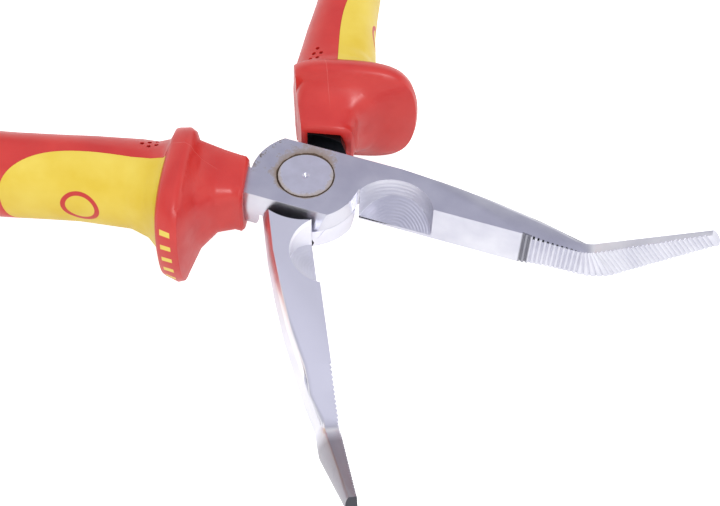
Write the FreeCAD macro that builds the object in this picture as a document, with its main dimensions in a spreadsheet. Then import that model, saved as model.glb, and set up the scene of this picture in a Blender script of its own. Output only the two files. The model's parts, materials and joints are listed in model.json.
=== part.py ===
"""Bent long-nose pliers, 200 mm, with two-colour insulated grips.

Each lever is drawn along its own line: X runs from the pivot to the jaw tip, Y points away from the
other jaw, and Z stands on the flat of the tool, with the lap plane of the joint at zero. The two levers
are then turned half the opening angle each way and lifted, so that the underside of the joint is at zero.
"""
import FreeCAD, Part
import math
import os
import Sketcher
from FreeCAD import Placement, Rotation, Vector

# ---------------------------------------------------------------- driving dimensions, mm and degrees
DIMENSIONS = {
    # joint
    "head_width": 16.5, "joint_thickness": 9.0, "plate_radius": 11.2, "shoulder_clearance": 0.25,
    "lap_clearance": 0.05, "opening_angle": 64.0,
    # rivet
    "rivet_head_radius": 5.7, "rivet_head_depth": 1.6, "rivet_shank_radius": 4.0,
    "rivet_seat_gap": 0.12, "rivet_running_clearance": 0.05, "punch_radius": 0.75, "punch_depth": 0.7,
    # jaw, station by station from the pivot
    "jaw_face_gap": 0.1, "shoulder_end": 18.0, "flat_start": 27.0, "flat_middle": 36.0,
    "teeth_start": 45.0, "neck_station": 50.5, "bend_start": 56.7, "back_at_flat": 8.85,
    "back_at_middle": 8.0, "back_at_teeth": 6.6, "back_at_neck": 5.7, "back_at_bend": 4.3,
    "neck_half_height": 3.65, "bend_half_height": 3.4, "bend_radius": 8.0, "bend_angle": 40.0,
    "tip_length": 23.5, "tip_back": 2.0, "tip_half_height": 1.5,
    # teeth and cutter
    "tooth_pitch": 0.95, "tooth_width": 0.7, "tooth_depth": 0.35, "pocket_radius": 8.4,
    "pocket_along": 19.2, "pocket_across": 3.25, "cutting_edge_height": 0.8, "pocket_slope": 36.0,
    # tang, station by station behind the pivot
    "tang_inner_wall": 1.6, "tang_root_station": 12.0, "tang_neck_station": 34.0,
    "tang_neck_across": 9.6, "tang_neck_width": 6.4, "tang_neck_thickness": 8.0,
    "tang_palm_station": 66.0, "tang_palm_across": 18.3, "tang_palm_width": 5.6,
    "tang_palm_thickness": 6.6, "tang_end_station": 100.0, "tang_end_across": 21.7,
    "tang_end_width": 4.6, "tang_end_thickness": 5.0,
    # grip, station by station behind the pivot
    "grip_gap": 0.6, "mouth_station": 10.9, "mouth_across": 5.1, "mouth_tilt": 13.0,
    "mouth_half_width": 6.2, "mouth_half_height": 6.8, "mouth_squareness": 4.0, "collar_length": 2.0,
    "mouth_lip": 0.6,
    "guard_station": 19.8, "guard_across": 11.8, "guard_tilt": 13.0, "guard_half_width": 14.6,
    "guard_half_height": 13.3, "guard_squareness": 3.0, "guard_thickness": 5.2,
    "guard_front_round": 1.8, "guard_rear_round": 0.9, "guard_rear_drop": 1.2,
    "neck_station_behind": 33.0, "neck_across": 10.0, "neck_tilt": 10.0, "neck_half_width": 9.0,
    "neck_half_tall": 9.0, "handle_squareness": 2.2,
    "waist_station": 43.0, "waist_across": 12.1, "waist_half_width": 8.2, "waist_half_height": 9.4,
    "palm_station": 58.0, "palm_across": 16.4, "palm_half_width": 7.3, "palm_half_height": 10.2,
    "bow_station": 76.0, "bow_across": 20.4, "bow_half_width": 7.2, "bow_half_height": 10.4,
    "heel_station": 95.0, "heel_across": 22.2, "heel_half_width": 7.6, "heel_half_height": 9.8,
    "end_station": 113.0, "end_across": 21.9, "end_half_width": 7.2, "end_half_height": 8.8,
    "end_round": 6.5, "end_flat_radius": 0.72, "end_round_turn": 83.0, "station_step": 12.0,
    "oval_points": 8, "flare_steps": 3, "round_steps": 2, "end_round_steps": 4,
    # thumb dimples beside the guard, in a row of three and a row of two
    "dimple_radius": 0.4, "dimple_station": 30.3, "dimple_across": 4.15, "dimple_step_along": 1.25,
    "dimple_step_across": 0.95, "dimple_row_along": -0.5, "dimple_row_across": 1.5, "dimple_floor": 7.2,
    # inner layer: the bar around the tang, and the window in the outer layer
    "core_station": 17.5, "core_across": 6.9, "core_width": 10.8, "core_thickness": 11.6,
    "panel_setback": 0.3, "panel_front_across": 9.4, "panel_middle_station": 46.5,
    "panel_middle_across": 14.3, "panel_end_station": 58.5, "panel_end_across": 26.0,
    "panel_start_slope": 0.2, "panel_end_slope": 2.0,
}

doc = FreeCAD.newDocument("bent_nose_pliers")
sheet = doc.addObject("Spreadsheet::Sheet", "sizes")
for row, (alias, number) in enumerate(DIMENSIONS.items(), start=1):
    sheet.set(f"A{row}", alias)
    sheet.set(f"B{row}", str(number))
    sheet.setAlias(f"B{row}", alias)
doc.recompute()

HEAD_BACK = "sqrt((sizes.head_width / 2)^2 + (sizes.joint_thickness / 2)^2)"
HALF_THICKNESS = "sizes.joint_thickness / 2"
SHOULDER_RADIUS = "sizes.plate_radius + sizes.shoulder_clearance"
ACROSS_LEVER = Rotation(Vector(1, 1, 1), 120)  # sketch X, Y and normal become lever Y, Z and X
SUB_PARTS = []


def size(formula):
    """A driving dimension, or a formula of them, as a number."""
    if formula in DIMENSIONS:
        formula = "sizes." + formula
    return float(sheet.evalExpression(formula))


def feature(kind, name, **formulas):
    """A document object whose listed properties follow the sheet. Two underscores stand for a dot."""
    made = doc.addObject(kind, name)
    for key, formula in formulas.items():
        made.setExpression(key.replace("__", "."), formula)
    return made


def combine(kind, name, *shapes):
    """A union or an intersection of several objects."""
    made = doc.addObject(kind, name)
    made.Shapes = list(shapes)
    return made


def cut(name, base, tool):
    made = doc.addObject("Part::Cut", name)
    made.Base = base
    made.Tool = tool
    return made


def solid(name, shape):
    """A free-form shape as an object of the document."""
    made = doc.addObject("Part::Feature", name)
    made.Shape = shape
    return made


# ---------------------------------------------------------------- jaw line and jaw sections
def along_jaw(distance):
    """Where the jaw's centre line is at a distance from the pivot: straight, bent up, straight again."""
    straight = size("bend_start")
    radius = size("bend_radius")
    turn = min(max(distance - straight, 0) / radius, math.radians(size("bend_angle")))
    rest = max(distance - straight - radius * turn, 0)
    bent = Rotation(Vector(0, -1, 0), math.degrees(turn))
    centre = Vector(min(distance, straight), 0, radius)
    return Placement(centre + bent.multVec(Vector(rest, 0, -radius)), bent)


def d_section(name, station, half_height, back):
    """Sketch of a jaw's section: flat gripping face, flat top and bottom, round back."""
    sketch = feature("Sketcher::SketchObject", name)
    sketch.Placement = Placement(Vector(), ACROSS_LEVER)
    sketch.setExpression("Placement.Base.x", station)
    high = size(half_height)
    round_back = size(back)
    face = size("jaw_face_gap") / 2
    side = math.sqrt(round_back ** 2 - high ** 2)
    angle = math.asin(high / round_back)
    sketch.addGeometry([
        Part.LineSegment(Vector(face, -high, 0), Vector(face, high, 0)),
        Part.LineSegment(Vector(face, high, 0), Vector(side, high, 0)),
        Part.ArcOfCircle(Part.Circle(Vector(), Vector(0, 0, 1), round_back), -angle, angle),
        Part.LineSegment(Vector(side, -high, 0), Vector(face, -high, 0)),
    ], False)
    join = Sketcher.Constraint
    sketch.addConstraint([
        join("Coincident", 0, 2, 1, 1), join("Coincident", 1, 2, 2, 2),
        join("Coincident", 2, 1, 3, 1), join("Coincident", 3, 2, 0, 1),
        join("Coincident", 2, 3, -1, 1), join("Vertical", 0), join("Horizontal", 1),
        join("Horizontal", 3), join("DistanceX", -1, 1, 0, 1, face),
        join("DistanceY", -1, 1, 0, 2, high), join("DistanceY", 0, 1, -1, 1, high),
        join("Radius", 2, round_back),
    ])
    bound = {8: "sizes.jaw_face_gap / 2", 9: half_height, 10: half_height, 11: back}
    for number, formula in bound.items():
        sketch.setExpression(f"Constraints[{number}]", formula)
    return sketch


def loft(name, sections):
    made = doc.addObject("Part::Loft", name)
    made.Sections = sections
    made.Solid = True
    made.Ruled = True
    return made


def jaw():
    """The forged jaw: a tapering straight run, the bend, and the slender tip."""
    stations = [
        ("root", "0", HALF_THICKNESS, HEAD_BACK),
        ("shoulder", "sizes.shoulder_end", HALF_THICKNESS, HEAD_BACK),
        ("flat", "sizes.flat_start", HALF_THICKNESS, "sizes.back_at_flat"),
        ("middle", "sizes.flat_middle", HALF_THICKNESS, "sizes.back_at_middle"),
        ("teeth", "sizes.teeth_start", HALF_THICKNESS, "sizes.back_at_teeth"),
        ("neck", "sizes.neck_station", "sizes.neck_half_height", "sizes.back_at_neck"),
        ("bend", "sizes.bend_start", "sizes.bend_half_height", "sizes.back_at_bend"),
    ]
    straight = loft("jaw_straight", [d_section("section_" + name, *rest) for name, *rest in stations])
    bend = feature("Part::Revolution", "jaw_bend", Angle="sizes.bend_angle",
                   Base__x="sizes.bend_start", Base__z="sizes.bend_radius")
    bend.Source = d_section("section_elbow", *stations[-1][1:])
    bend.Axis = Vector(0, -1, 0)
    bend.Solid = True
    tip = loft("jaw_tip", [
        d_section("section_tip_start", "0", "sizes.bend_half_height", "sizes.back_at_bend"),
        d_section("section_tip_end", "sizes.tip_length", "sizes.tip_half_height", "sizes.tip_back"),
    ])
    tip.Placement = along_jaw(tip_start())
    return [straight, bend, tip]


def tip_start():
    return size("bend_start") + size("bend_radius") * math.radians(size("bend_angle"))


def teeth():
    """One V groove after another across the gripping face, square to the jaw line."""
    half = size("tooth_width") / 2
    reach = size("joint_thickness")
    face = size("jaw_face_gap") / 2
    outline = [Vector(-half, 0, -reach), Vector(half, 0, -reach), Vector(half, face, -reach),
               Vector(0, face + size("tooth_depth"), -reach), Vector(-half, face, -reach)]
    groove = Part.Face(Part.makePolygon(outline + outline[:1])).extrude(Vector(0, 0, 2 * reach))
    pitch = size("tooth_pitch")
    grooves = []
    distance = size("teeth_start") + pitch / 2
    while distance < tip_start() + size("tip_length") - pitch / 2:
        one = groove.copy()
        one.Placement = along_jaw(distance)
        grooves.append(one)
        distance += pitch
    return solid("teeth", Part.makeCompound(grooves))


def cutter_pocket():
    """The round-backed relief above the cutting edge: an upright wall and a sloping floor."""
    round_wall = feature("Part::Cylinder", "pocket_wall", Radius="sizes.pocket_radius",
                         Height="sizes.joint_thickness", Placement__Base__x="sizes.pocket_along",
                         Placement__Base__y="-sizes.pocket_across",
                         Placement__Base__z="-" + HALF_THICKNESS)
    above = feature("Part::Box", "pocket_above_floor", Length="3 * sizes.pocket_radius",
                    Width="2 * sizes.pocket_radius", Height="3 * sizes.joint_thickness",
                    Placement__Base__x="sizes.pocket_along - 1.5 * sizes.pocket_radius",
                    Placement__Base__z="sizes.cutting_edge_height - " + HALF_THICKNESS)
    above.Placement.Rotation = Rotation(Vector(1, 0, 0), size("pocket_slope"))
    return combine("Part::MultiCommon", "cutter_pocket", round_wall, above)


# ---------------------------------------------------------------- joint plate and tang
def slab_round():
    """The rounded sides of the head: a long cylinder along the lever, as thick as the joint."""
    barrel = feature("Part::Cylinder", "head_barrel", Radius=HEAD_BACK,
                     Height="4 * sizes.plate_radius", Placement__Base__x="-2 * sizes.plate_radius")
    barrel.Placement.Rotation = Rotation(Vector(0, 1, 0), 90)
    return barrel


def joint_plate():
    disc = feature("Part::Cylinder", "plate_disc", Radius="sizes.plate_radius",
                   Height="sizes.joint_thickness", Placement__Base__z="-" + HALF_THICKNESS)
    return combine("Part::MultiCommon", "joint_plate", disc, slab_round())


def tang_root():
    """The full-thickness neck behind the plate, which closes the shoulder of the other lever."""
    block = feature("Part::Box", "tang_block", Length="sizes.tang_root_station",
                    Width=f"{HEAD_BACK} - sizes.tang_inner_wall", Height="sizes.joint_thickness",
                    Placement__Base__x="-sizes.tang_root_station",
                    Placement__Base__y=f"-({HEAD_BACK})", Placement__Base__z="-" + HALF_THICKNESS)
    return combine("Part::MultiCommon", "tang_root", block, slab_round())


def tang_section(station, across, width, thickness):
    low = Vector(-station, -across - width / 2, -thickness / 2)
    step = Vector(0, width, 0)
    rise = Vector(0, 0, thickness)
    return Part.makePolygon([low, low + step, low + step + rise, low + rise, low])


def tang_shape():
    """The tapering shank that the grip is moulded over."""
    outer = size("head_width") / 2
    inner = size("tang_inner_wall")
    sections = [tang_section(size("tang_root_station"), (outer + inner) / 2, outer - inner,
                             size("joint_thickness"))]
    for place in ("neck", "palm", "end"):
        sections.append(tang_section(*[size(f"tang_{place}_{what}")
                                       for what in ("station", "across", "width", "thickness")]))
    return Part.makeLoft(sections, True, False)


def cylinder(name, radius, low, high):
    """An upright cylinder on the pivot axis."""
    return feature("Part::Cylinder", name, Radius=radius, Height=f"({high}) - ({low})",
                   Placement__Base__z=low)


def lever(name, blank, side):
    """Cut a blank to half its thickness at the joint and bore it for the rivet.

    side is 1 for the plate above the lap plane and -1 for the plate below it.
    """
    lap = f"{side} * sizes.lap_clearance / 2"
    far = f"{-side} * {HALF_THICKNESS}"
    near = f"{side} * {HALF_THICKNESS}"
    ends = (far, lap) if side > 0 else (lap, far)
    recess = cylinder(name + "_recess", SHOULDER_RADIUS, *ends)
    shank_room = "0" if side > 0 else "sizes.rivet_running_clearance"
    head_room = "sizes.rivet_seat_gap" if side > 0 else "sizes.rivet_running_clearance"
    seat_floor = "0" if side > 0 else "sizes.rivet_running_clearance"
    bore = cylinder(name + "_bore", f"sizes.rivet_shank_radius + {shank_room}",
                    "-" + HALF_THICKNESS, HALF_THICKNESS)
    floor = f"{side} * ({HALF_THICKNESS} - sizes.rivet_head_depth - {seat_floor})"
    ends = (floor, near) if side > 0 else (near, floor)
    seat = cylinder(name + "_seat", f"sizes.rivet_head_radius + {head_room}", *ends)
    tools = combine("Part::MultiFuse", name + "_cuts", recess, bore, seat)
    return place(cut(name, blank, tools), name, side)


def place(made, label, side):
    """Turn a lever's piece half the opening angle, lift it on to its underside and register it."""
    half = size("opening_angle") / 2
    made.Label = label
    made.Placement = Placement(Vector(0, 0, size(HALF_THICKNESS)), Rotation(Vector(0, 0, 1), side * half))
    SUB_PARTS.append(made)
    return made


def mirrored(name, source):
    """The same form for the lever on the other side of the tool."""
    made = doc.addObject("Part::Mirroring", name)
    made.Source = source
    made.Normal = Vector(0, 1, 0)
    return made


# ---------------------------------------------------------------- grips
def oval(station):
    """A closed, squarish oval across the grip at one station."""
    along, across, tilt, half_width, half_height, squareness = station
    middle = Vector(-along, -across, 0)
    outward = Vector(math.sin(math.radians(tilt)), -math.cos(math.radians(tilt)), 0)
    points = []
    count = int(size("oval_points"))
    for step in range(count):
        angle = 2 * math.pi * step / count + math.pi
        wide = math.copysign(abs(math.cos(angle)) ** (2 / squareness), math.cos(angle))
        tall = math.copysign(abs(math.sin(angle)) ** (2 / squareness), math.sin(angle))
        points.append(middle + outward * (half_width * wide) + Vector(0, 0, half_height * tall))
    curve = Part.BSplineCurve()
    curve.interpolate(Points=points, PeriodicFlag=True)
    return Part.Wire(curve.toShape())


def moved(station, along=0.0, grow=0.0):
    """A station further back along the lever, and larger or smaller all round."""
    place_along, across, tilt, half_width, half_height, squareness = station
    return (place_along + along, across, tilt, half_width + grow, half_height + grow, squareness)


def lowered(station, drop):
    """A station that is less tall, by drop at its top and at its bottom."""
    along, across, tilt, half_width, half_height, squareness = station
    return (along, across, tilt, half_width, half_height - drop, squareness)


def flare(slim, wide):
    """Stations of a hollow curve that leaves the slim station level and meets the wide one square."""
    stations = []
    steps = int(size("flare_steps"))
    for step in range(steps + 1):
        angle = math.pi / 2 * step / steps
        run = math.sin(angle)
        swell = 1 - math.cos(angle)
        shares = (run, swell, run, swell, swell, swell)
        stations.append(tuple(a + (b - a) * share for a, b, share in zip(slim, wide, shares)))
    return stations


def rounding(station, along, reach, last=90.0, fineness="round_steps"):
    """Stations of a rounded edge: full size first, then smaller by reach, towards along."""
    steps = int(size(fineness))
    turns = [math.radians(last) * step / steps for step in range(steps + 1)]
    return [moved(station, along * math.sin(turn), reach * (math.cos(turn) - 1)) for turn in turns]


def skin(*runs):
    """One solid through the stations of all the runs, laid end to end."""
    stations = runs[0][:1]
    for run in runs:
        stations = stations + run[1:]
    return Part.makeLoft([oval(station) for station in stations], True, True)


def handle_stations():
    """The grip behind the guard, station by station."""
    square = size("handle_squareness")
    knots = [(size("neck_station_behind"), size("neck_across"), size("neck_tilt"),
              size("neck_half_width"), size("neck_half_tall"), square)]
    for name in ("waist", "palm", "bow", "heel", "end"):
        knots.append((size(name + "_station"), size(name + "_across"), 0.0,
                      size(name + "_half_width"), size(name + "_half_height"), square))
    return knots


def eased(knots):
    """Extra stations between the given ones, on smooth curves through them."""
    slopes = [tuple(0.0 for _ in knots[0])]
    for before, after in zip(knots, knots[2:]):
        slopes.append(tuple((b - a) / (after[0] - before[0]) for a, b in zip(before, after)))
    slopes.append(tuple(0.0 for _ in knots[0]))
    stations = []
    for first, last, leave, arrive in zip(knots, knots[1:], slopes, slopes[1:]):
        run = last[0] - first[0]
        steps = math.ceil(run / size("station_step"))
        for step in range(steps):
            share = step / steps
            square, cube = share ** 2, share ** 3
            stations.append((first[0] + run * share,) + tuple(
                a * (2 * cube - 3 * square + 1) + b * (3 * square - 2 * cube)
                + run * (out * (cube - 2 * square + share) + into * (cube - square))
                for a, b, out, into in list(zip(first, last, leave, arrive))[1:]))
    return stations + [knots[-1]]


def grip_form():
    """The whole outside of a grip: lip, collar, guard flange, handle and rounded end."""
    sides = ("station", "across", "tilt", "half_width", "half_height", "squareness")
    mouth = tuple(size("mouth_" + side) for side in sides)
    front = tuple(size("guard_" + side) for side in sides)
    front_round, rear_round = size("guard_front_round"), size("guard_rear_round")
    back = lowered(moved(front, size("guard_thickness")), size("guard_rear_drop"))
    lip = size("mouth_lip")
    collar = moved(mouth, size("collar_length"))
    handle = eased(handle_stations())
    dome = size("end_half_width") - size("end_flat_radius")
    form = skin(
        [moved(mouth, 0, -lip), moved(mouth, lip, 0), collar],
        flare(collar, moved(front, 0, -front_round)),
        rounding(moved(front, front_round), -front_round, front_round)[::-1],
        [moved(front, front_round), moved(back, -rear_round)],
        rounding(moved(back, -rear_round), rear_round, rear_round),
        flare(handle[0], moved(back, 0, -rear_round))[::-1],
        handle,
        rounding(handle[-1], size("end_round"), dome, size("end_round_turn"), "end_round_steps"),
    )
    reach = 2 * size("end_station")
    own_side = Part.makeBox(reach, reach, reach, Vector(-reach, -reach - size("grip_gap") / 2, -reach / 2))
    return form.common(own_side)


def core_form():
    """The hidden part of the inner layer: a bar around the tang, from inside the collar to the end."""
    middles = [(size("core_station"), size("core_across"))]
    for along, across, *_ in handle_stations():
        middles.append((along, across))
    return Part.makeLoft([tang_section(along, across, size("core_width"), size("core_thickness"))
                          for along, across in middles], True, True)


def panel_window():
    """Plan of the window through which the inner layer reaches the surface, as a tall prism."""
    tilt = math.tan(math.radians(size("guard_tilt")))
    behind = size("guard_thickness") + size("panel_setback")
    guard_back = size("guard_station") + behind + size("guard_across") * tilt
    front = size("panel_front_across")
    outside = size("panel_end_across") + 2 * size("guard_half_width")
    reach = 2 * size("guard_half_height")
    inner = Vector(-(guard_back - front * tilt), -front, -reach)
    outer = Vector(-(guard_back - outside * tilt), -outside, -reach)
    middle = Vector(-size("panel_middle_station"), -size("panel_middle_across"), -reach)
    end = Vector(-size("panel_end_station"), -size("panel_end_across"), -reach)
    far = Vector(end.x, -outside, -reach)
    sweep = Part.BSplineCurve()
    sweep.interpolate(Points=[inner, middle, end],
                      InitialTangent=Vector(-1, -size("panel_start_slope"), 0),
                      FinalTangent=Vector(-1, -size("panel_end_slope"), 0))
    rim = [sweep.toShape(), Part.makeLine(end, far), Part.makeLine(far, outer),
           Part.makeLine(outer, inner)]
    return Part.Face(Part.Wire(rim)).extrude(Vector(0, 0, 2 * reach))


def thumb_dimples():
    """Small round pits in the outer layer, where the thumb meets the guard."""
    first = Vector(-size("dimple_station"), -size("dimple_across"), size("dimple_floor"))
    step = Vector(-size("dimple_step_along"), -size("dimple_step_across"), 0)
    next_row = Vector(-size("dimple_row_along"), -size("dimple_row_across"), 0)
    pits = []
    for row, count in enumerate((3, 2)):
        for number in range(count):
            foot = first + next_row * row + step * number
            pits.append(Part.makeCylinder(size("dimple_radius"), size("joint_thickness"), foot))
    return Part.makeCompound(pits)


def rivet():
    """Flush-headed rivet with a centre-punch mark in its upper head."""
    body = doc.addObject("PartDesign::Body", "rivet_body")
    profile = body.newObject("Sketcher::SketchObject", "rivet_profile")
    plane = next(f for f in body.Origin.OriginFeatures if f.Role == "XZ_Plane")
    profile.AttachmentSupport = [(plane, "")]
    profile.MapMode = "FlatFace"
    head, shank = "sizes.rivet_head_radius", "sizes.rivet_shank_radius"
    thick, deep = "sizes.joint_thickness", "sizes.rivet_head_depth"
    corners = [("0", "0"), (head, "0"), (head, deep), (shank, deep), (shank, f"{thick} - {deep}"),
               (head, f"{thick} - {deep}"), (head, thick), ("sizes.punch_radius", thick),
               ("0", f"{thick} - sizes.punch_depth")]
    outline(profile, corners)
    turned = body.newObject("PartDesign::Revolution", "rivet_turned")
    turned.Profile = profile
    turned.ReferenceAxis = (profile, ["V_Axis"])
    turned.Angle = 360
    body.Label = "pivot_rivet"
    SUB_PARTS.append(body)
    return body


def outline(sketch, corners):
    """A closed outline whose every corner is dimensioned from the sketch's origin."""
    points = [Vector(size(x), size(y), 0) for x, y in corners]
    count = len(points)
    join = Sketcher.Constraint
    for number in range(count):
        sketch.addGeometry(Part.LineSegment(points[number], points[(number + 1) % count]), False)
    for number, (x, y) in enumerate(corners):
        sketch.addConstraint(join("Coincident", number, 2, (number + 1) % count, 1))
        for kind, formula, axis in (("DistanceX", x, -2), ("DistanceY", y, -1)):
            if formula == "0":
                sketch.addConstraint(join("PointOnObject", number, 1, axis))
            else:
                index = sketch.addConstraint(join(kind, -1, 1, number, 1, size(formula)))
                sketch.setExpression(f"Constraints[{index}]", formula)


# ---------------------------------------------------------------- assembly
tang = solid("tang_shank", tang_shape())
forging = combine("Part::MultiFuse", "forging", *jaw(), joint_plate(), tang_root(), tang)
cuts = combine("Part::MultiFuse", "jaw_cuts", cutter_pocket(), teeth())
blank = cut("lever_blank", forging, cuts)
rivet()
lever("upper_lever", blank, 1)
lever("lower_lever", mirrored("lower_blank", blank), -1)
doc.recompute()

tang_metal = forging.Shape
outside = grip_form()
inside = core_form().fuse(outside.common(panel_window()))
yellow = inside.cut(tang_metal)
red = outside.cut(inside).cut(tang_metal).cut(thumb_dimples())
for layer, shape in (("grip_core", yellow), ("grip_shell", red)):
    upper_layer = solid("upper_layer_" + layer, shape)
    place(upper_layer, "upper_" + layer, 1)
    place(mirrored("lower_layer_" + layer, solid("lower_source_" + layer, shape)), "lower_" + layer, -1)
doc.recompute()

# ---------------------------------------------------------------- check and write
for item in doc.Objects:
    if "Invalid" in item.State or "Error" in item.State:
        raise RuntimeError(f"{item.Label}: {item.State}")
os.makedirs("parts", exist_ok=True)
for item in SUB_PARTS:
    shape = item.Shape
    if shape.isNull() or not shape.isValid() or shape.Volume <= 0:
        raise RuntimeError(f"{item.Label} has no valid shape")
    shape.exportStep(f"parts/{item.Label}.step")
    box = shape.BoundBox
    print(f"{item.Label:18s} {shape.Volume:8.1f} mm3, {len(shape.Solids)} solid, {len(shape.Faces)} faces, "
          f"{box.XLength:6.2f} x {box.YLength:6.2f} x {box.ZLength:5.2f} mm")
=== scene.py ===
# %% [markdown]
# Bent long-nose pliers, lying open on a pale table. Two forged levers cross at a flush rivet, and each
# handle carries a grip of two moulded layers: yellow inside, red outside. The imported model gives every
# piece its size and place. This script gives each one its edges and its finish, and sets up the studio.

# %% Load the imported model
import bmesh
import bpy
import json
import math
from mathutils import Matrix, Vector


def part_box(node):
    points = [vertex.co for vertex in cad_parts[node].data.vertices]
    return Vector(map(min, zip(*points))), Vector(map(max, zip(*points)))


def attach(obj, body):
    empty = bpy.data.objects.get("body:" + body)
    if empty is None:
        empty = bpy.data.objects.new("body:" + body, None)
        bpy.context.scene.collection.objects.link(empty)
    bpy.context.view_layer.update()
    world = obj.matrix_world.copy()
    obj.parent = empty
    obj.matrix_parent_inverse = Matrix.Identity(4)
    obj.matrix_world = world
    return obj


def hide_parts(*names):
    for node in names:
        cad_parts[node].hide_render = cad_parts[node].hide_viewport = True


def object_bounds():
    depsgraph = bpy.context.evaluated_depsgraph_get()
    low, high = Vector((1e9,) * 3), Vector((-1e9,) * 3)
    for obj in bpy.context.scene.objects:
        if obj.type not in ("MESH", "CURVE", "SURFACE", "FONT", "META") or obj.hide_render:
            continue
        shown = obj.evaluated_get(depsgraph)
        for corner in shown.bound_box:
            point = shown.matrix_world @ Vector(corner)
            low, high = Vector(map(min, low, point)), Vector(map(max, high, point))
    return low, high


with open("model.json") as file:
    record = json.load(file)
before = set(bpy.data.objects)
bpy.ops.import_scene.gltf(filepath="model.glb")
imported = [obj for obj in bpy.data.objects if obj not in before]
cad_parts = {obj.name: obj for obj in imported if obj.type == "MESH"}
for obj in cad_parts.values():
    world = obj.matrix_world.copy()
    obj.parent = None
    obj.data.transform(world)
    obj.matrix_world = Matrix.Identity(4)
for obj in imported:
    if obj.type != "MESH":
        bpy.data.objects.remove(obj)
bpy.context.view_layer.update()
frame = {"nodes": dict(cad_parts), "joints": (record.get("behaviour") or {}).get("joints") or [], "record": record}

print("nodes:", sorted(frame["nodes"]))

# %% [markdown]
# Everything on these pliers is drawn along a lever: X runs from the rivet to the jaw tip and Y points
# away from the other jaw. One matrix for each lever takes such a place to the table, so a detail is
# written once and appears on both. The pliers rest fully open, so the joint's travel gives the angle.

# %% Measures and the two lever places
MM = 0.001
RIVET_LOW, RIVET_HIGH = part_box("pivot_rivet")
THICKNESS = RIVET_HIGH.z - RIVET_LOW.z
HALF_THICKNESS = THICKNESS / 2 / MM
RIVET_RADIUS = RIVET_HIGH.x
HALF_OPENING = math.radians(frame["joints"][0]["range_deg"][1]) / 2
SIDES = {"upper": 1, "lower": -1}


def lever_place(lever):
    """Lever coordinates, with the lap plane at zero, to the pliers' own."""
    side = SIDES[lever]
    return (Matrix.Translation((0, 0, THICKNESS / 2)) @ Matrix.Rotation(side * HALF_OPENING, 4, "Z")
            @ Matrix.Diagonal((1, side, 1, 1)))


print("joint", round(THICKNESS / MM, 2), "mm thick, half opening", round(math.degrees(HALF_OPENING), 1))

# %% [markdown]
# A camera close to the tool makes the near jaw look large. Its place is written as the distance back
# from the rivet's lap plane along the line of sight and a small shift sideways, and it rolls a little,
# as a hand-held camera does.

# %% Camera
CAMERA_TURN = math.radians(48.93)
CAMERA_RISE = math.radians(52.07)
CAMERA_ROLL = math.radians(2.04)
CAMERA_PLACE = Vector((11.50, -168.34, 195.73)) * MM
CAMERA_LENS = 63.0
CAMERA_SENSOR = 36.0
CAMERA_NEAR = 10.0 * MM

back = Vector((0, -math.cos(CAMERA_RISE), math.sin(CAMERA_RISE)))
level = Vector((1, 0, 0))
upright = back.cross(level)
across = level * math.cos(CAMERA_ROLL) + upright * math.sin(CAMERA_ROLL)
up = upright * math.cos(CAMERA_ROLL) - level * math.sin(CAMERA_ROLL)
axes = Matrix((across, up, back)).transposed().to_4x4()
camera = bpy.data.objects.new("camera", bpy.data.cameras.new("camera"))
camera.data.lens = CAMERA_LENS
camera.data.sensor_width = CAMERA_SENSOR
camera.data.clip_start = CAMERA_NEAR
camera.matrix_world = (Matrix.Translation((0, 0, THICKNESS / 2)) @ Matrix.Rotation(CAMERA_TURN, 4, "Z")
                       @ Matrix.Translation(CAMERA_PLACE) @ axes)
bpy.context.scene.collection.objects.link(camera)
bpy.context.scene.camera = camera
print("camera at", [round(value / MM, 1) for value in camera.matrix_world.translation], "mm")

# %% [markdown]
# A shader is a chain of nodes. Three small helpers keep the chains readable: one adds a node and sets
# its inputs, one makes a group with named inputs and outputs, and one places such a group. A group gives
# only colours, masks and values, and the Principled shader stays in each material.


# %% Shader helpers
def node(tree, kind, inputs=None, **settings):
    """A shader node with its settings, whose inputs are values or other nodes' outputs."""
    made = tree.nodes.new("ShaderNode" + kind)
    for key, value in settings.items():
        setattr(made, key, value)
    for key, value in (inputs or {}).items():
        if isinstance(value, bpy.types.NodeSocket):
            tree.links.new(value, made.inputs[key])
        else:
            made.inputs[key].default_value = value
    return made


def sums(tree, operation, first, second=0.0, third=0.0):
    return node(tree, "Math", {0: first, 1: second, 2: third}, operation=operation).outputs[0]


def group(name, inputs, outputs):
    """An empty node group: the tree, its input node and a way to set its outputs."""
    tree = bpy.data.node_groups.new(name, "ShaderNodeTree")
    for label, (kind, value) in inputs.items():
        socket = tree.interface.new_socket(label, in_out="INPUT", socket_type="NodeSocket" + kind)
        if value is not None:
            socket.default_value = value
    for label, kind in outputs.items():
        tree.interface.new_socket(label, in_out="OUTPUT", socket_type="NodeSocket" + kind)
    return tree, tree.nodes.new("NodeGroupInput").outputs, tree.nodes.new("NodeGroupOutput")


def placed(tree, name, inputs):
    """A node group in a material, with its own values."""
    made = tree.nodes.new("ShaderNodeGroup")
    made.node_tree = bpy.data.node_groups[name]
    for key, value in inputs.items():
        if isinstance(value, bpy.types.NodeSocket):
            tree.links.new(value, made.inputs[key])
        else:
            made.inputs[key].default_value = value
    return made.outputs


print("shader helpers ready")

# %% [markdown]
# Five effects are shared. "cloudy" is a slow change over a few millimetres, as in a handled surface.
# "grain" is a fine unevenness. "ground_lines" are the long scratches of a grinding belt. "flecks" are
# scattered specks, such as rust or dust. "rings" are the circles that a cutter leaves in a milled floor.
# Sizes go in as millimetres, and noise counts its waves in a metre, so each group turns one into the
# other.

# %% Shared effects
CLOUD_RANGE = (0.3, 0.7)
LINE_STRETCH = 0.03
FLECK_LEVEL = 0.75
FLECK_SOFT = 0.08
RING_WOBBLE = 0.4
RING_WOBBLE_SCALE = 400.0


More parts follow.
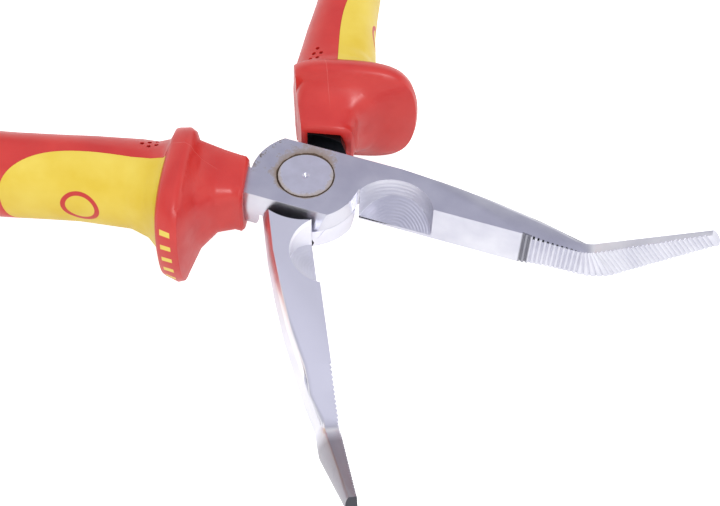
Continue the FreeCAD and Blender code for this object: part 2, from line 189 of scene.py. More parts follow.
def waves_for(tree, size):
    """The noise scale that gives features of a size in mm."""
    return sums(tree, "DIVIDE", 1 / MM, size)


def radius_from(tree, place):
    """Distance from the upright axis through a place's origin."""
    flat = node(tree, "VectorMath", {0: place, 1: (1.0, 1.0, 0.0)}, operation="MULTIPLY")
    return node(tree, "VectorMath", {0: flat.outputs[0]}, operation="LENGTH").outputs["Value"]


def build_cloudy():
    tree, inside, out = group("cloudy", {"Place": ("Vector", None), "Size": ("Float", 5.0),
                                         "Low": ("Float", 0.0), "High": ("Float", 1.0)},
                              {"Value": "Float"})
    noise = node(tree, "TexNoise", {"Vector": inside["Place"], "Scale": waves_for(tree, inside["Size"]),
                                    "Detail": 3.0})
    spread = node(tree, "MapRange", {"Value": noise.outputs["Fac"], "From Min": CLOUD_RANGE[0],
                                     "From Max": CLOUD_RANGE[1], "To Min": inside["Low"],
                                     "To Max": inside["High"]})
    tree.links.new(spread.outputs[0], out.inputs["Value"])


def build_grain():
    tree, inside, out = group("grain", {"Place": ("Vector", None), "Size": ("Float", 0.4)},
                              {"Height": "Float"})
    noise = node(tree, "TexNoise", {"Vector": inside["Place"], "Scale": waves_for(tree, inside["Size"]),
                                    "Detail": 4.0, "Roughness": 0.6})
    tree.links.new(noise.outputs["Fac"], out.inputs["Height"])


def build_ground_lines():
    tree, inside, out = group("ground_lines", {"Place": ("Vector", None), "Width": ("Float", 0.15)},
                              {"Height": "Float"})
    stretched = node(tree, "Mapping", {"Vector": inside["Place"], "Scale": (LINE_STRETCH, 1.0, 1.0)})
    noise = node(tree, "TexNoise", {"Vector": stretched.outputs[0],
                                    "Scale": waves_for(tree, inside["Width"]),
                                    "Detail": 3.0, "Roughness": 0.7})
    tree.links.new(noise.outputs["Fac"], out.inputs["Height"])


def build_flecks():
    tree, inside, out = group("flecks", {"Place": ("Vector", None), "Size": ("Float", 1.0),
                                         "Cover": ("Float", 0.1)}, {"Mask": "Float"})
    noise = node(tree, "TexNoise", {"Vector": inside["Place"], "Scale": waves_for(tree, inside["Size"]),
                                    "Detail": 6.0, "Roughness": 0.7})
    limit = sums(tree, "SUBTRACT", FLECK_LEVEL, inside["Cover"])
    spread = node(tree, "MapRange", {"Value": noise.outputs["Fac"], "From Min": limit,
                                     "From Max": sums(tree, "ADD", limit, FLECK_SOFT)},
                  interpolation_type="SMOOTHSTEP")
    tree.links.new(spread.outputs[0], out.inputs["Mask"])


def build_rings():
    tree, inside, out = group("rings", {"Place": ("Vector", None), "Pitch": ("Float", 0.4)},
                              {"Height": "Float"})
    wobble = node(tree, "TexNoise", {"Vector": inside["Place"], "Scale": RING_WOBBLE_SCALE,
                                     "Detail": 2.0})
    uneven = sums(tree, "MULTIPLY_ADD", wobble.outputs["Fac"], RING_WOBBLE * MM,
                  radius_from(tree, inside["Place"]))
    turns = sums(tree, "DIVIDE", sums(tree, "MULTIPLY", uneven, 1 / MM), inside["Pitch"])
    wave = sums(tree, "SINE", sums(tree, "MULTIPLY", turns, 2 * math.pi))
    tree.links.new(wave, out.inputs["Height"])


for build in (build_cloudy, build_grain, build_ground_lines, build_flecks, build_rings):
    build()
print("effects:", [made.name for made in bpy.data.node_groups])

# %% [markdown]
# A mark such as rust or scale belongs to a place on the lever, so its shader needs the lever's own
# coordinates. Mapping nodes can undo the lever's lift, turn and mirroring. A mark is then a product of
# masks, each 0 to 1 along one direction: "below" and "beyond" fade at one limit and "band" at two. A UV
# map could hold such marks too, but masks in millimetres stay where they are when the mesh changes.


# %% Places on a lever, for the shaders
def lever_coordinates(tree, lever, origin=(0, 0, 0)):
    """Object coordinates turned into a lever's own, in metres, from an origin on it in mm."""
    texture = node(tree, "TexCoord").outputs["Object"]
    side = SIDES[lever]
    lowered = node(tree, "Mapping", {"Vector": texture, "Location": (0, 0, -THICKNESS / 2)})
    turned = node(tree, "Mapping", {"Vector": lowered.outputs[0],
                                    "Rotation": (0, 0, -side * HALF_OPENING)})
    shift = tuple(-value * MM for value in origin)
    own = node(tree, "Mapping", {"Vector": turned.outputs[0], "Scale": (1, side, 1), "Location": shift})
    return own.outputs[0]


def band(tree, value, low, high, soft):
    """1 where a value lies between two limits in mm, with soft ends."""
    rise = node(tree, "MapRange", {"Value": value, "From Min": (low - soft) * MM,
                                   "From Max": (low + soft) * MM},
                interpolation_type="SMOOTHSTEP").outputs[0]
    fall = node(tree, "MapRange", {"Value": value, "From Min": (high - soft) * MM,
                                   "From Max": (high + soft) * MM, "To Min": 1.0, "To Max": 0.0},
                interpolation_type="SMOOTHSTEP").outputs[0]
    return sums(tree, "MULTIPLY", rise, fall)


def faded(tree, value, start, end):
    """1 at a value's start, falling to 0 at its end."""
    return node(tree, "MapRange", {"Value": value, "From Min": start, "From Max": end,
                                   "To Min": 1.0, "To Max": 0.0}).outputs[0]


def below(tree, value, start, end):
    """1 at a start in mm, falling to 0 at an end in mm."""
    return faded(tree, value, start * MM, end * MM)


def beyond(tree, value, start, end):
    """0 at a start in mm, rising to 1 at an end in mm."""
    return sums(tree, "SUBTRACT", 1.0, below(tree, value, start, end))


def all_of(tree, *masks):
    """The product of several masks."""
    result = masks[0]
    for mask in masks[1:]:
        result = sums(tree, "MULTIPLY", result, mask)
    return result


def layered(tree, base, *layers):
    """A colour with others over it, each by its own mask."""
    colour = base
    for mask, over in layers:
        mix = node(tree, "Mix", {"Factor": mask}, data_type="RGBA")
        for key, value in (("A", colour), ("B", over)):
            socket = next(s for s in mix.inputs if s.name == key and s.type == "RGBA")
            if isinstance(value, bpy.types.NodeSocket):
                tree.links.new(value, socket)
            else:
                socket.default_value = (*value, 1.0)
        colour = next(s for s in mix.outputs if s.type == "RGBA")
    return colour


def bumped(tree, *heights):
    """A normal with several heights on top of each other, each (height, depth in mm)."""
    normal = None
    for height, depth in heights:
        inputs = {"Height": height, "Distance": depth * MM, "Strength": 1.0}
        if normal:
            inputs["Normal"] = normal
        normal = node(tree, "Bump", inputs).outputs["Normal"]
    return normal


def principled(name, links, **values):
    """A material with one Principled shader: sockets that are linked, and plain values."""
    material = bpy.data.materials.new(name)
    material.use_nodes = True
    tree = material.node_tree
    shader = next(n for n in tree.nodes if n.type == "BSDF_PRINCIPLED")
    for key, value in values.items():
        shader.inputs[key.replace("_", " ")].default_value = value
    for key, output in links(tree).items():
        tree.links.new(output, shader.inputs[key])
    return material


print("lever coordinates ready, half thickness", round(HALF_THICKNESS, 2), "mm")

# %% [markdown]
# The levers are forged, ground flat on both faces and left bare. Grinding leaves fine lines along the
# lever and a soft, slightly blue sheen. Rust starts where damp stays: round the rivet's seat and at the
# back of the plate. The cutter relief is milled, so its floor shows rings about the cutter's axis and
# its wall shows the feed. The first teeth and the end face of the lower tip are made darker. The rest is
# painted light: the lower lever is painted a lighter steel than the upper one, with a painted highlight
# on its top and painted shade on its slender tip; its shoulder wall and the root that fills the upper
# one's shoulder are painted near black as shade and dark reflection, and so are the ends of the grooves
# along the teeth's upper edge on both jaws. Each of these marks is a mask, and the colours lie over
# each other in the order of the list.

# %% Steel colours and the places of the marks, in mm
STEEL_LIGHT = (0.74, 0.74, 0.80)
STEEL_DARK = (0.60, 0.60, 0.68)
STEEL_BRIGHT = (0.84, 0.84, 0.92)
# Painted shade and dark reflection on the lower lever's shoulder wall.
SHOULDER_PAINTED_SHADE = (0.05, 0.05, 0.055)
# Painted highlight on the lower jaw's top.
TOP_PAINTED_HIGHLIGHT = (0.96, 0.96, 1.0)
# Painted shade on the lower jaw's slender tip.
TIP_PAINTED_SHADE = (0.17, 0.15, 0.18)
TIP_DARK = (0.10, 0.10, 0.115)
# Painted shade and dark reflection, near black: the lower lever's root behind the joint and the ends of the tooth
# grooves.
PAINTED_SHADE_BLACK = (0.018, 0.024, 0.025)
RUST = (0.085, 0.055, 0.035)
RUST_TINT = (0.32, 0.24, 0.17)

PLATE_RADIUS = 11.2
SHOULDER_RADIUS = 11.45
STAIN_SIDE = (-0.6, 0.8, 0.0)
RIVET_STAIN_SIDE = (0.8, -0.6, 0.0)
STAIN_LEAST = 0.12
RUST_LINE_LEAST = 0.06
RUST_STAIN_LEAST = 0.05
RIM_WIDTH = 1.0
RIM_SOFT = 0.6
BEHIND_ALONG = (-4.0, -1.0)
BEHIND_ACROSS = (1.0, -3.0)
ON_TOP = (HALF_THICKNESS - 0.3, HALF_THICKNESS - 0.2)

POCKET_CENTRE = (19.2, -3.25, 0.0)
POCKET_RADIUS = 8.4
POCKET_REACH = (-4.3, 4.4)
FLOOR_MARGIN = 0.12
WALL_MARGIN = 0.10
RING_PITCH = 0.55
FEED_PITCH = 1.1

TOOTH_PITCH = 0.95
TEETH_START = 45.0
DARKENED_LENGTH = 1.9
DARKENED_HEIGHT = (0.45, 0.5)
GROOVES_LENGTH = 11.0
GROOVE_SHARE = (0.18, 0.24)
GROOVE_END_ACROSS = (0.06, 0.42)
GROOVE_END_UP = (3.2, 3.3)

TIP_ANGLE = math.radians(40.0)
TIP_FACE = 72.07
TIP_END = (TIP_FACE - 0.16, TIP_FACE - 0.12)
SLENDER_ALONG = (57.0, 62.0)
BRIGHT_ALONG = (56.0, 60.0)
BRIGHT_UP = (3.1, 3.2)
ROOT_ALONG = (-1.4, -1.0)
ROOT_END = 40.0
WALL_ACROSS = (1.6, 2.4)
ABOVE_LAP = 0.1
STEEL_ROUGHNESS = (0.24, 0.40)
STEEL_DEPTHS = {"lines": 0.005, "grain": 0.004, "rings": 0.011, "feed": 0.012}


# %% Steel finishes
def ring_rust(tree, place, radius, line, stain, towards):
    """A dark line round the rivet's edge, and a stain of uneven width beside it, widest on one side."""
    off = sums(tree, "ABSOLUTE", sums(tree, "SUBTRACT", radius, RIVET_RADIUS + RUST_LINE_LEAST * MM))
    cloud = placed(tree, "cloudy", {"Place": place, "Size": 5.0})["Value"]
    uneven = placed(tree, "grain", {"Place": place, "Size": 0.9})["Height"]
    aside = node(tree, "VectorMath", {0: place, 1: towards}, operation="DOT_PRODUCT").outputs["Value"]
    bias = node(tree, "MapRange", {"Value": aside, "From Min": -0.5 * RIVET_RADIUS,
                                   "From Max": RIVET_RADIUS, "To Min": STAIN_LEAST}).outputs[0]
    spread = all_of(tree, sums(tree, "MULTIPLY_ADD", cloud, 0.8, 0.2), uneven, bias)
    thin = sums(tree, "MULTIPLY_ADD", spread, line * MM, RUST_LINE_LEAST * MM)
    wide = sums(tree, "MULTIPLY_ADD", spread, stain * MM, RUST_STAIN_LEAST * MM)
    dark = sums(tree, "LESS_THAN", off, thin)
    tint = node(tree, "Clamp", {"Value": sums(tree, "SUBTRACT", 1.0, sums(tree, "DIVIDE", off, wide))})
    return dark, sums(tree, "POWER", tint.outputs[0], 0.6)


def rim_rust_mask(tree, place, parts, from_pivot):
    """Spots of rust along the plate's rim behind the pivot, on its upper face."""
    spots = placed(tree, "flecks", {"Place": place, "Size": 1.3, "Cover": 0.24})["Mask"]
    at_rim = band(tree, from_pivot, PLATE_RADIUS - RIM_WIDTH, PLATE_RADIUS + RIM_WIDTH, RIM_SOFT)
    return all_of(tree, at_rim, below(tree, parts["X"], *BEHIND_ALONG),
                  below(tree, parts["Y"], *BEHIND_ACROSS), spots, beyond(tree, parts["Z"], *ON_TOP))


def cutter_marks(tree, lever, parts):
    """Heights of the milled rings on the relief's floor and of the feed marks on its wall."""
    pocket = lever_coordinates(tree, lever, POCKET_CENTRE)
    away = radius_from(tree, pocket)
    deep = band(tree, parts["Z"], *POCKET_REACH, 0.03)
    rings = placed(tree, "rings", {"Place": pocket, "Pitch": RING_PITCH})["Height"]
    on_floor = band(tree, away, 0.0, POCKET_RADIUS - FLOOR_MARGIN, 0.05)
    feed = sums(tree, "SINE", sums(tree, "MULTIPLY", parts["Z"], 2 * math.pi / (FEED_PITCH * MM)))
    at_wall = band(tree, away, POCKET_RADIUS - WALL_MARGIN, POCKET_RADIUS + WALL_MARGIN, 0.02)
    return all_of(tree, on_floor, deep, rings), all_of(tree, at_wall, deep, feed)


def teeth_marks(tree, parts):
    """Masks of the first teeth, made darker, and of painted shade at the ends of the grooves along the upper edge.
    """
    darkened_end = TEETH_START + DARKENED_LENGTH
    darkened_first = all_of(tree, below(tree, parts["Y"], *DARKENED_HEIGHT),
                  band(tree, parts["X"], TEETH_START, darkened_end, 0.1))
    start = sums(tree, "SUBTRACT", parts["X"], TEETH_START * MM)
    phase = sums(tree, "FRACT", sums(tree, "DIVIDE", start, TOOTH_PITCH * MM))
    off_groove = sums(tree, "ABSOLUTE", sums(tree, "SUBTRACT", phase, 0.5))
    # The groove ends get painted shade.
    ends = all_of(tree, faded(tree, off_groove, *GROOVE_SHARE),
                  band(tree, parts["Y"], *GROOVE_END_ACROSS, 0.02),
                  band(tree, parts["X"], darkened_end, TEETH_START + GROOVES_LENGTH, 0.1),
                  beyond(tree, parts["Z"], *GROOVE_END_UP))
    return darkened_first, ends


def lower_marks(tree, place, parts, from_pivot):
    """Colours that only the lower lever has: a painted highlight on the top, painted shade on the slender tip, a
    darker end face, and painted shade and dark reflection on the shoulder wall and the root.
    """
    above = beyond(tree, parts["Z"], 0.0, ABOVE_LAP)
    direction = (math.cos(TIP_ANGLE), 0.0, math.sin(TIP_ANGLE))
    along_tip = node(tree, "VectorMath", {0: place, 1: direction},
                     operation="DOT_PRODUCT").outputs["Value"]
    # Painted highlight on the top.
    top = all_of(tree, below(tree, parts["X"], *BRIGHT_ALONG), beyond(tree, parts["Z"], *BRIGHT_UP))
    # Painted shade and dark reflection on the shoulder wall.
    wall = all_of(tree, above, band(tree, from_pivot, SHOULDER_RADIUS - 0.1, SHOULDER_RADIUS + 0.05, 0.03),
                  beyond(tree, parts["Y"], *WALL_ACROSS))
    # Painted shade and dark reflection on the root.
    root = all_of(tree, below(tree, parts["X"], *ROOT_ALONG),
                  band(tree, from_pivot, PLATE_RADIUS + 0.1, ROOT_END, 0.02), above)
    # Then painted shade on the slender tip, the darker end face, and painted shade on the wall and root.
    return [(sums(tree, "MULTIPLY", top, 0.8), TOP_PAINTED_HIGHLIGHT),
            (sums(tree, "MULTIPLY", beyond(tree, parts["X"], *SLENDER_ALONG), 0.8), TIP_PAINTED_SHADE),
            (beyond(tree, along_tip, *TIP_END), TIP_DARK), (wall, SHOULDER_PAINTED_SHADE), (root, PAINTED_SHADE_BLACK)]


def steel_links(lever):
    def links(tree):
        place = lever_coordinates(tree, lever)
        parts = node(tree, "SeparateXYZ", {0: place}).outputs
        from_pivot = radius_from(tree, place)
        cloud = placed(tree, "cloudy", {"Place": place, "Size": 7.0})["Value"]
        lines = placed(tree, "ground_lines", {"Place": place, "Width": 0.14})["Height"]
        grain = placed(tree, "grain", {"Place": place, "Size": 0.25})["Height"]
        stray = placed(tree, "flecks", {"Place": place, "Size": 1.6, "Cover": 0.035})["Mask"]
        seat, stain = ring_rust(tree, place, from_pivot, 1.0, 7.0, STAIN_SIDE)
        rim_rust = rim_rust_mask(tree, place, parts, from_pivot)
        milled, feed_marks = cutter_marks(tree, lever, parts)
        darkened_teeth, groove_ends = teeth_marks(tree, parts)
        # The lower lever gets lighter tones than the upper one: painted light for the light its faces catch, as
        # both are the same steel.
        painted_light_tones = (STEEL_LIGHT, STEEL_BRIGHT) if lever == "lower" else (STEEL_DARK, STEEL_LIGHT)
        own = lower_marks(tree, place, parts, from_pivot) if lever == "lower" else []
        base = layered(tree, painted_light_tones[0], (cloud, painted_light_tones[1]), (stain, RUST_TINT),
                       (sums(tree, "MULTIPLY", stray, 0.6), RUST_TINT), (rim_rust, RUST), (seat, RUST),
                       (sums(tree, "MULTIPLY", darkened_teeth, 0.6), TIP_DARK),
                       (groove_ends, PAINTED_SHADE_BLACK), *own)
        rust = sums(tree, "MAXIMUM", rim_rust, sums(tree, "MULTIPLY", stain, 0.6))
        rust = sums(tree, "MAXIMUM", seat, rust)
        rough = node(tree, "MapRange", {"Value": lines, "To Min": STEEL_ROUGHNESS[0],
                                        "To Max": STEEL_ROUGHNESS[1]}).outputs[0]
        return {"Base Color": base,
                "Roughness": sums(tree, "MULTIPLY_ADD", rust, 0.4, rough),
                "Metallic": sums(tree, "SUBTRACT", 1.0, sums(tree, "MULTIPLY", rust, 0.8)),
                "Normal": bumped(tree, (lines, STEEL_DEPTHS["lines"]), (grain, STEEL_DEPTHS["grain"]),
                                 (milled, STEEL_DEPTHS["rings"]), (feed_marks, STEEL_DEPTHS["feed"]))}
    return links


def rivet_links(tree):
    place = node(tree, "TexCoord").outputs["Object"]
    cloud = placed(tree, "cloudy", {"Place": place, "Size": 3.0})["Value"]
    grain = placed(tree, "grain", {"Place": place, "Size": 0.3})["Height"]
    rim, stain = ring_rust(tree, place, radius_from(tree, place), 0.8, 5.0, RIVET_STAIN_SIDE)
    rust = sums(tree, "MAXIMUM", rim, stain)
    return {"Base Color": layered(tree, STEEL_LIGHT, (cloud, STEEL_BRIGHT),
                                  (sums(tree, "MULTIPLY", stain, 0.8), RUST_TINT), (rim, RUST)),
            "Roughness": sums(tree, "MULTIPLY_ADD", rust, 0.35, 0.34),
            "Metallic": sums(tree, "SUBTRACT", 1.0, sums(tree, "MULTIPLY", rust, 0.6)),
            "Normal": bumped(tree, (grain, 0.006))}


STEEL = {lever: principled("ground_steel_" + lever, steel_links(lever)) for lever in SIDES}
RIVET_STEEL = principled("rivet_steel", rivet_links)
print("steel:", [made.name for made in STEEL.values()], RIVET_STEEL.name)

# %% [markdown]
# Both grip layers are moulded plastic. The red one has a satin gloss, and the mould's fine texture breaks
# its highlights into grains; the halves of the mould leave a thin line over the collar and the guard. The
# yellow one is duller. A row of plain bars marks the guard's rim, and a plain ring the yellow panel. Both
# are printed flat on the real thing, so they are masks too, and a shallow bump gives the ring its edge.

# %% Grip colours and the places of the bars, the ring and the seam, in mm
RED = (0.62, 0.036, 0.028)
RED_DEEP = (0.54, 0.022, 0.019)
RED_LINE = (0.72, 0.10, 0.085)
YELLOW = (0.71, 0.505, 0.032)
YELLOW_PALE = (0.78, 0.60, 0.085)
RED_ROUGHNESS = (0.28, 0.40)
YELLOW_ROUGHNESS = (0.36, 0.48)
MOULD_TEXTURE = 0.010
RING_EDGE = 0.03
SEAM_RIDGE = 0.04
GUARD_MIDDLE = (-19.8, -11.8, 0.0)
GUARD_TILT = math.radians(13.0)
BARS = {"pitch": 3.4, "width": 1.15, "edge": 0.1, "count": 5, "from": 1.8, "to": 3.9, "outward": 8.0}
RING = {"along": -41.0, "up": 0.6, "radius": 4.0, "line": 1.0, "outward": -15.0}
SEAM = {"across": -6.8, "from": -25.5, "to": -16.6, "line": 0.06}


# %% Grip finishes
def rim_bars(tree, lever):
    """Plain bars side by side on the outward part of the guard's rim."""
    guard = lever_coordinates(tree, lever, GUARD_MIDDLE)
    turned = node(tree, "Mapping", {"Vector": guard, "Rotation": (0, 0, -GUARD_TILT)})
    parts = node(tree, "SeparateXYZ", {0: turned.outputs[0]}).outputs
    turns = sums(tree, "DIVIDE", parts["Z"], BARS["pitch"] * MM)
    off = sums(tree, "ABSOLUTE", sums(tree, "SUBTRACT", turns, sums(tree, "ROUND", turns)))
    bar = faded(tree, off, (BARS["width"] - BARS["edge"]) / 2 / BARS["pitch"],
                (BARS["width"] + BARS["edge"]) / 2 / BARS["pitch"])
    reach = BARS["count"] * BARS["pitch"] / 2
    behind = sums(tree, "MULTIPLY", parts["X"], -1.0)
    outward = sums(tree, "MULTIPLY", parts["Y"], -1.0)
    return all_of(tree, bar, band(tree, parts["Z"], -reach, reach, 0.02),
                  band(tree, behind, BARS["from"], BARS["to"], 0.05),
                  beyond(tree, outward, BARS["outward"], BARS["outward"] + BARS["edge"]))


def panel_ring(tree, lever):
    """A plain ring on the outward side of the yellow panel."""
    place = lever_coordinates(tree, lever, (RING["along"], 0.0, RING["up"]))
    parts = node(tree, "SeparateXYZ", {0: place}).outputs
    upright = node(tree, "CombineXYZ", {0: parts["X"], 1: parts["Z"]}).outputs[0]
    away = node(tree, "VectorMath", {0: upright}, operation="LENGTH").outputs["Value"]
    line = band(tree, away, RING["radius"] - RING["line"], RING["radius"], 0.06)
    return all_of(tree, line, below(tree, parts["Y"], RING["outward"], RING["outward"] + 1))


def mould_seam(tree, lever):
    """The thin line that the mould leaves over the collar and the guard."""
    place = lever_coordinates(tree, lever)
    parts = node(tree, "SeparateXYZ", {0: place}).outputs
    line = band(tree, parts["Y"], SEAM["across"] - SEAM["line"], SEAM["across"] + SEAM["line"], 0.05)
    return all_of(tree, line, band(tree, parts["X"], SEAM["from"], SEAM["to"], 1.5))


def plastic(tree, shade, other, roughness):
    """Base colour, roughness and fine texture that both layers share."""
    place = node(tree, "TexCoord").outputs["Object"]
    cloud = placed(tree, "cloudy", {"Place": place, "Size": 9.0})["Value"]
    grain = placed(tree, "grain", {"Place": place, "Size": 0.35})["Height"]
    wear = placed(tree, "cloudy", {"Place": place, "Size": 4.0, "Low": roughness[0],
                                   "High": roughness[1]})["Value"]
    return layered(tree, shade, (cloud, other)), wear, grain


def red_links(lever):
    def links(tree):
        base, wear, grain = plastic(tree, RED, RED_DEEP, RED_ROUGHNESS)
        seam = mould_seam(tree, lever)
        return {"Base Color": layered(tree, base, (sums(tree, "MULTIPLY", seam, 0.6), RED_LINE),
                                      (rim_bars(tree, lever), YELLOW_PALE)),
                "Roughness": wear, "Normal": bumped(tree, (grain, MOULD_TEXTURE), (seam, SEAM_RIDGE))}
    return links


def yellow_links(lever):
    def links(tree):
        base, wear, grain = plastic(tree, YELLOW, YELLOW_PALE, YELLOW_ROUGHNESS)
        ring = panel_ring(tree, lever)
        return {"Base Color": layered(tree, base, (ring, RED_DEEP)), "Roughness": wear,
                "Normal": bumped(tree, (grain, MOULD_TEXTURE), (ring, RING_EDGE))}
    return links


RED_PLASTIC = {lever: principled("red_grip_plastic_" + lever, red_links(lever), Specular_IOR_Level=0.6)
               for lever in SIDES}
YELLOW_PLASTIC = {lever: principled("yellow_grip_plastic_" + lever, yellow_links(lever)) for lever in SIDES}
print("plastics:", [made.name for made in (*RED_PLASTIC.values(), *YELLOW_PLASTIC.values())])

# %% [markdown]
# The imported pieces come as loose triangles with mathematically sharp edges. Real ones catch the light
# along every edge, so each is copied, its triangles are joined, and a narrow bevel goes round the edges
# that are sharper than a limit. The forged crease along a jaw's back is rounder, so its edges carry a
# larger weight in the same bevel. Flat faces made of many triangles would spoil a bevel's run along
# them, so those of the jaws are made one face first. The copy replaces its node.

# %% Edge sizes in mm and angles in degrees
WIDEST_BEVEL = 0.6
MERGE_DISTANCE = 0.002
CREASE = {"from": 26.0, "full": 34.0, "slender": 57.0, "across": 1.2, "mildest": 30.0, "sharpest": 62.0,
          "start_share": 0.5, "slender_share": 0.2}
FLAT_FROM = 14.0
FLAT_LEVEL = 0.9
FLAT_TURN = 0.002


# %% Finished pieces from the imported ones
def crease_share(edge, lever):
    """How much of the widest bevel an edge gets: all of it on a jaw's crease, less towards the tip."""
    ends = [lever_place(lever).inverted() @ corner.co / MM for corner in edge.verts]
    middle = (ends[0] + ends[1]) / 2
    turn = math.degrees(edge.calc_face_angle(0))
    runs_along = abs(ends[0].x - ends[1].x) > abs(ends[0].y - ends[1].y)
    if (middle.x < CREASE["from"] or middle.y < CREASE["across"] or not edge.is_convex or not runs_along
            or not CREASE["mildest"] < turn < CREASE["sharpest"]):
        return None
    if middle.x < CREASE["full"]:
        return CREASE["start_share"]
    return 1.0 if middle.x < CREASE["slender"] else CREASE["slender_share"]


def join_flats(shape, lever):
    """Make one face of each flat top and bottom of a jaw, so that its bevels run evenly."""
    to_lever = lever_place(lever).inverted()
    inside = []
    for edge in shape.edges:
        level = all(abs(face.normal.z) > FLAT_LEVEL for face in edge.link_faces)
        reach = min((to_lever @ corner.co).x for face in edge.link_faces for corner in face.verts)
        if (len(edge.link_faces) == 2 and level and reach > FLAT_FROM * MM
                and edge.calc_face_angle(0) < FLAT_TURN):
            inside.append(edge)
    bmesh.ops.dissolve_limit(shape, angle_limit=FLAT_TURN, verts=[], edges=inside)


def weigh_edges(shape, narrow, sharp, lever):
    """Mark the sharp edges and give each its share of the widest bevel."""
    weight = shape.edges.layers.float.new("bevel_weight_edge")
    for edge in shape.edges:
        between = len(edge.link_faces) == 2
        edge.smooth = between and edge.calc_face_angle(0) < math.radians(sharp)
        if between and not edge.smooth:
            share = crease_share(edge, lever) if lever else None
            edge[weight] = share or narrow / WIDEST_BEVEL
            edge.smooth = share is not None


def finished(name, material, narrow, sharp, lever=None):
    """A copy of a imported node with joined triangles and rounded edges, narrow or on a crease wide."""
    body = next(key for key, members in frame["record"]["behaviour"]["bodies"].items() if name in members)
    mesh = frame["nodes"][name].data.copy()
    shape = bmesh.new()
    shape.from_mesh(mesh)
    bmesh.ops.remove_doubles(shape, verts=shape.verts, dist=MERGE_DISTANCE * MM)
    if lever:
        join_flats(shape, lever)
    for face in shape.faces:
        face.smooth = True
    weigh_edges(shape, narrow, sharp, lever)
    shape.to_mesh(mesh)
    shape.free()
    piece = bpy.data.objects.new(name + "_finished", mesh)
    bpy.context.scene.collection.objects.link(piece)
    mesh.materials.clear()
    mesh.materials.append(material)
    bevel = piece.modifiers.new("worn_edges", "BEVEL")
    bevel.width = WIDEST_BEVEL * MM
    bevel.segments = 2
    bevel.limit_method = "WEIGHT"
    bevel.use_clamp_overlap = False
    bevel.loop_slide = False
    bevel.harden_normals = True
    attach(piece, body)
    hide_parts(name)
    return piece


PIECES = {}
for lever in SIDES:
    PIECES[lever + "_lever"] = finished(lever + "_lever", STEEL[lever], narrow=0.06, sharp=28.0,
                                        lever=lever)
    PIECES[lever + "_core"] = finished(lever + "_grip_core", YELLOW_PLASTIC[lever],
                                       narrow=0.10, sharp=50.0)
    PIECES[lever + "_shell"] = finished(lever + "_grip_shell", RED_PLASTIC[lever],
                                        narrow=0.12, sharp=50.0)
PIECES["rivet"] = finished("pivot_rivet", RIVET_STEEL, narrow=0.06, sharp=30.0)
for name, piece in PIECES.items():
    print(name, len(piece.data.polygons), "faces")

# %% [markdown]
# A white sweep and soft light from all round suit bare metal: steel shows what it reflects. The table
# is a large pale plane. Its own glow makes it white to the camera and a weak grey to reflections, so that
# upright steel faces aren't lost against it. The world is white to the camera and to low reflections,
# darker blue overhead and paler again at the very top, which gives the flat faces their tone. The Light
# Path node tells these rays apart, so the light on the object stays plain.

# %% Table
TABLE_SIZE = 3.0
PAPER = (0.86, 0.86, 0.87, 1)
PAPER_ROUGHNESS = 0.9
GLOW_SEEN = 0.80
GLOW_REFLECTED = 0.30

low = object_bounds()[0]
surface = bpy.data.meshes.new("table")
sheet = bmesh.new()
bmesh.ops.create_grid(sheet, x_segments=1, y_segments=1, size=TABLE_SIZE / 2)
bmesh.ops.translate(sheet, verts=sheet.verts, vec=(0, 0, low.z))
sheet.to_mesh(surface)
sheet.free()
table = bpy.data.objects.new("table", surface)
bpy.context.scene.collection.objects.link(table)

paper = bpy.data.materials.new("white_paper")
paper.use_nodes = True
tree = paper.node_tree
diffuse = next(n for n in tree.nodes if n.type == "BSDF_PRINCIPLED")
diffuse.inputs["Base Color"].default_value = PAPER
diffuse.inputs["Roughness"].default_value = PAPER_ROUGHNESS
rays = node(tree, "LightPath").outputs
seen = sums(tree, "MAXIMUM", rays["Is Camera Ray"], rays["Is Transmission Ray"])
brightness = sums(tree, "MULTIPLY_ADD", rays["Is Glossy Ray"], GLOW_REFLECTED,
                  sums(tree, "MULTIPLY", seen, GLOW_SEEN))
glow = node(tree, "Emission", {"Color": (1, 1, 1, 1), "Strength": brightness})
both = node(tree, "AddShader", {0: diffuse.outputs[0], 1: glow.outputs[0]})
tree.links.new(both.outputs[0], next(n for n in tree.nodes if n.type == "OUTPUT_MATERIAL").inputs[0])
surface.materials.append(paper)
print("table at", round(low.z / MM, 2), "mm")

# %% World
SKY_WHITE = (1.0, 1.0, 1.0)
SKY_BLUE = (0.34, 0.34, 0.43)
SKY_TOP = (0.66, 0.66, 0.79)
BLUE_HEIGHT = (0.30, 0.62)
TOP_HEIGHT = (0.60, 0.90)
SKY_STRENGTH = 0.95
SKY_SEEN_EXTRA = 0.05

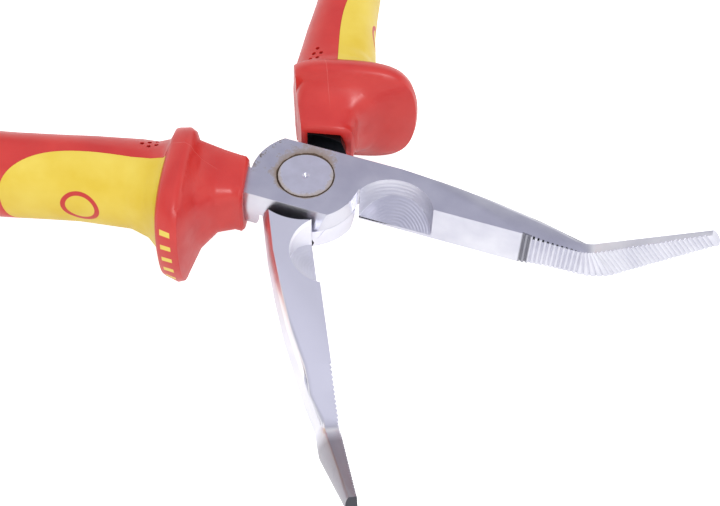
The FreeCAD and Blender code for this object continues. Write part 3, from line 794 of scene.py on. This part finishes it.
world = bpy.data.worlds.new("studio")
bpy.context.scene.world = world
world.use_nodes = True
tree = world.node_tree
background = next(n for n in tree.nodes if n.type == "BACKGROUND")
rays = node(tree, "LightPath").outputs
height = node(tree, "SeparateXYZ", {0: node(tree, "TexCoord").outputs["Generated"]}).outputs["Z"]
overhead = node(tree, "MapRange", {"Value": height, "From Min": BLUE_HEIGHT[0],
                                   "From Max": BLUE_HEIGHT[1]}).outputs[0]
zenith = node(tree, "MapRange", {"Value": height, "From Min": TOP_HEIGHT[0],
                                 "From Max": TOP_HEIGHT[1]}).outputs[0]
sky = layered(tree, SKY_WHITE, (sums(tree, "MULTIPLY", overhead, rays["Is Glossy Ray"]), SKY_BLUE),
              (sums(tree, "MULTIPLY", zenith, rays["Is Glossy Ray"]), SKY_TOP))
tree.links.new(sky, background.inputs["Color"])
directly = sums(tree, "MAXIMUM", rays["Is Camera Ray"],
                sums(tree, "MAXIMUM", rays["Is Glossy Ray"], rays["Is Transmission Ray"]))
strength = sums(tree, "MULTIPLY_ADD", directly, SKY_SEEN_EXTRA, SKY_STRENGTH)
tree.links.new(strength, background.inputs["Strength"])
bpy.context.scene.view_settings.view_transform = "Standard"
print("world", world.name, "with", len(tree.nodes), "nodes")

# %% [markdown]
# Two small round lamps add the modelling: a key and a weaker fill. They stand where no flat face of the
# pliers mirrors them into the lens, because ground steel would burn out there.

# %% Lamps
LAMP_SIZE = 0.25
LAMPS = {"key_lamp": ((0.57, -0.10, 0.73), 2.0), "fill_lamp": ((0.55, -0.35, 0.60), 0.5)}


def lamp(name, place, power):
    """A round soft lamp that looks at the pliers."""
    light = bpy.data.lights.new(name, "AREA")
    light.shape = "DISK"
    light.size = LAMP_SIZE
    light.energy = power
    made = bpy.data.objects.new(name, light)
    made.location = place
    made.rotation_euler = (-Vector(place)).to_track_quat("-Z", "Y").to_euler()
    bpy.context.scene.collection.objects.link(made)


for name, (place, power) in LAMPS.items():
    lamp(name, place, power)
print("lamps:", list(LAMPS))
